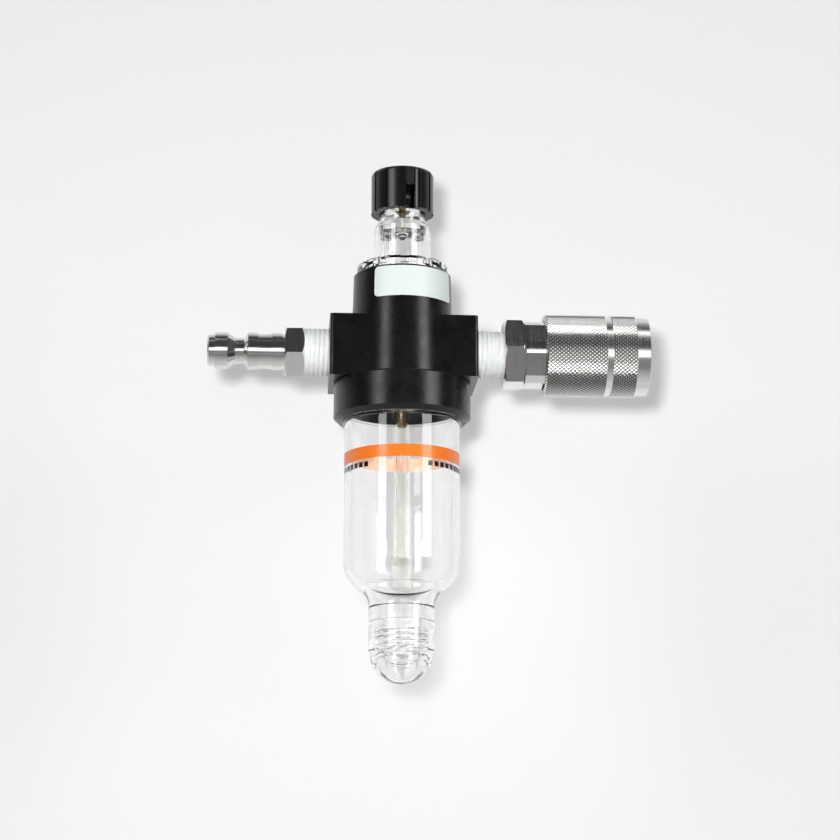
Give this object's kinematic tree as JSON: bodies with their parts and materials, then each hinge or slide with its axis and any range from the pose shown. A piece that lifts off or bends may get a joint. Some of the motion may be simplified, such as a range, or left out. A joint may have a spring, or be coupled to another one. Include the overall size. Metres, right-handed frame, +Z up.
{
  "type": "inline air oiler",
  "caption": "In-line oiler for a compressed air hose: black die-cast body, clear bowl, clear drip dome with a knob, quick-connect plug at one end and knurled quick coupler at the other.",
  "frame": {"origin": "on the air line's centreline, at the front shoulder of the inlet plug's nose collar", "axes": "+X along the air flow from plug to coupler, +Z up from the bowl to the knob, -Y is the front"},
  "size_m": [0.1322, 0.041, 0.1562],
  "materials": {
    "plated_steel": "turned steel, bright zinc or nickel plated",
    "sleeve_plating": "knurled steel, bright plated",
    "ptfe_tape": "wound white sealing tape",
    "black_casting": "zinc die casting with a satin black coat",
    "brass": "turned brass",
    "clear_moulding": "clear moulded polycarbonate",
    "clear_insert": "clear moulded nylon",
    "bowl_polycarbonate": "clear moulded polycarbonate",
    "rubber": "nitrile rubber",
    "black_nylon": "moulded black nylon",
    "label_vinyl": "white vinyl sticker",
    "bright_steel": "polished hardened steel",
    "siphon_nylon": "translucent nylon tube",
    "porous_filter": "sintered porous plastic",
    "spring_steel": "spring steel"
  },
  "bodies": {
    "root": {"inlet_plug": "plated_steel", "inlet_thread_tape": "ptfe_tape", "body_casting": "black_casting", "venturi_insert": "brass", "sight_dome": "clear_moulding", "sight_dome_o_ring": "rubber", "drip_nozzle": "clear_insert", "oil_riser_tube": "clear_insert", "label_plate": "label_vinyl", "siphon_adapter": "brass", "ball_retainer": "brass", "siphon_tube": "siphon_nylon", "siphon_filter": "porous_filter", "outlet_thread_tape": "ptfe_tape", "coupler_body": "plated_steel", "socket_seal": "rubber", "valve_spring": "spring_steel", "sleeve_spring": "spring_steel", "sleeve_retaining_ring": "spring_steel"},
    "knob": {"adjusting_knob": "black_nylon"},
    "needle": {"metering_screw": "brass", "screw_o_ring": "rubber"},
    "bowl_seal": {"bowl_o_ring": "rubber"},
    "bowl": {"bowl": "bowl_polycarbonate"},
    "check_ball": {"check_ball": "bright_steel"},
    "sleeve": {"coupler_sleeve": "sleeve_plating"},
    "poppet": {"valve_poppet": "brass"},
    "lock_ball_1": {"lock_ball_1": "bright_steel"},
    "lock_ball_2": {"lock_ball_2": "bright_steel"},
    "lock_ball_3": {"lock_ball_3": "bright_steel"},
    "lock_ball_4": {"lock_ball_4": "bright_steel"}
  },
  "joints": [
    {"name": "knob_turn", "type": "hinge", "parent": "root", "child": "knob", "pos_m": [0.056, 0, 0.05], "axis": [0, 0, 1], "range_deg": [0, 540]},
    {"name": "needle_lift", "type": "slide", "parent": "knob", "child": "needle", "axis": [0, 0, 1], "range_m": [0, 0.00105]},
    {"name": "bowl_turn", "type": "hinge", "parent": "bowl_seal", "child": "bowl", "pos_m": [0.056, 0, -0.02], "axis": [0, 0, 1], "range_deg": [-1080, 0]},
    {"name": "bowl_drop", "type": "slide", "parent": "root", "child": "bowl_seal", "axis": [0, 0, -1], "range_m": [0, 0.006]},
    {"name": "check_ball_lift", "type": "slide", "parent": "root", "child": "check_ball", "axis": [0, 0, 1], "range_m": [0, 0.0008]},
    {"name": "sleeve_slide", "type": "slide", "parent": "root", "child": "sleeve", "axis": [-1, 0, 0], "range_m": [0, 0.004], "stiffness_N_per_m": 900, "springref_m": -0.004, "deforming": ["sleeve_spring"]},
    {"name": "poppet_push", "type": "slide", "parent": "root", "child": "poppet", "axis": [-1, 0, 0], "range_m": [0, 0.0026], "stiffness_N_per_m": 400, "springref_m": -0.003, "deforming": ["valve_spring"]},
    {"name": "lock_ball_1_out", "type": "slide", "parent": "root", "child": "lock_ball_1", "axis": [0, -0.7071, 0.7071], "range_m": [0, 0.00125]},
    {"name": "lock_ball_2_out", "type": "slide", "parent": "root", "child": "lock_ball_2", "axis": [0, -0.7071, -0.7071], "range_m": [0, 0.00125]},
    {"name": "lock_ball_3_out", "type": "slide", "parent": "root", "child": "lock_ball_3", "axis": [0, 0.7071, -0.7071], "range_m": [0, 0.00125]},
    {"name": "lock_ball_4_out", "type": "slide", "parent": "root", "child": "lock_ball_4", "axis": [0, 0.7071, 0.7071], "range_m": [0, 0.00125]}
  ],
  "couplings": [
    {"joint": "needle_lift", "follows": "knob_turn", "m_per_rad": 0.00011141},
    {"joint": "bowl_drop", "follows": "bowl_turn", "m_per_rad": -0.00031831},
    {"joint": "lock_ball_1_out", "follows": "sleeve_slide", "ratio": 0.3125},
    {"joint": "lock_ball_2_out", "follows": "sleeve_slide", "ratio": 0.3125},
    {"joint": "lock_ball_3_out", "follows": "sleeve_slide", "ratio": 0.3125},
    {"joint": "lock_ball_4_out", "follows": "sleeve_slide", "ratio": 0.3125}
  ]
}
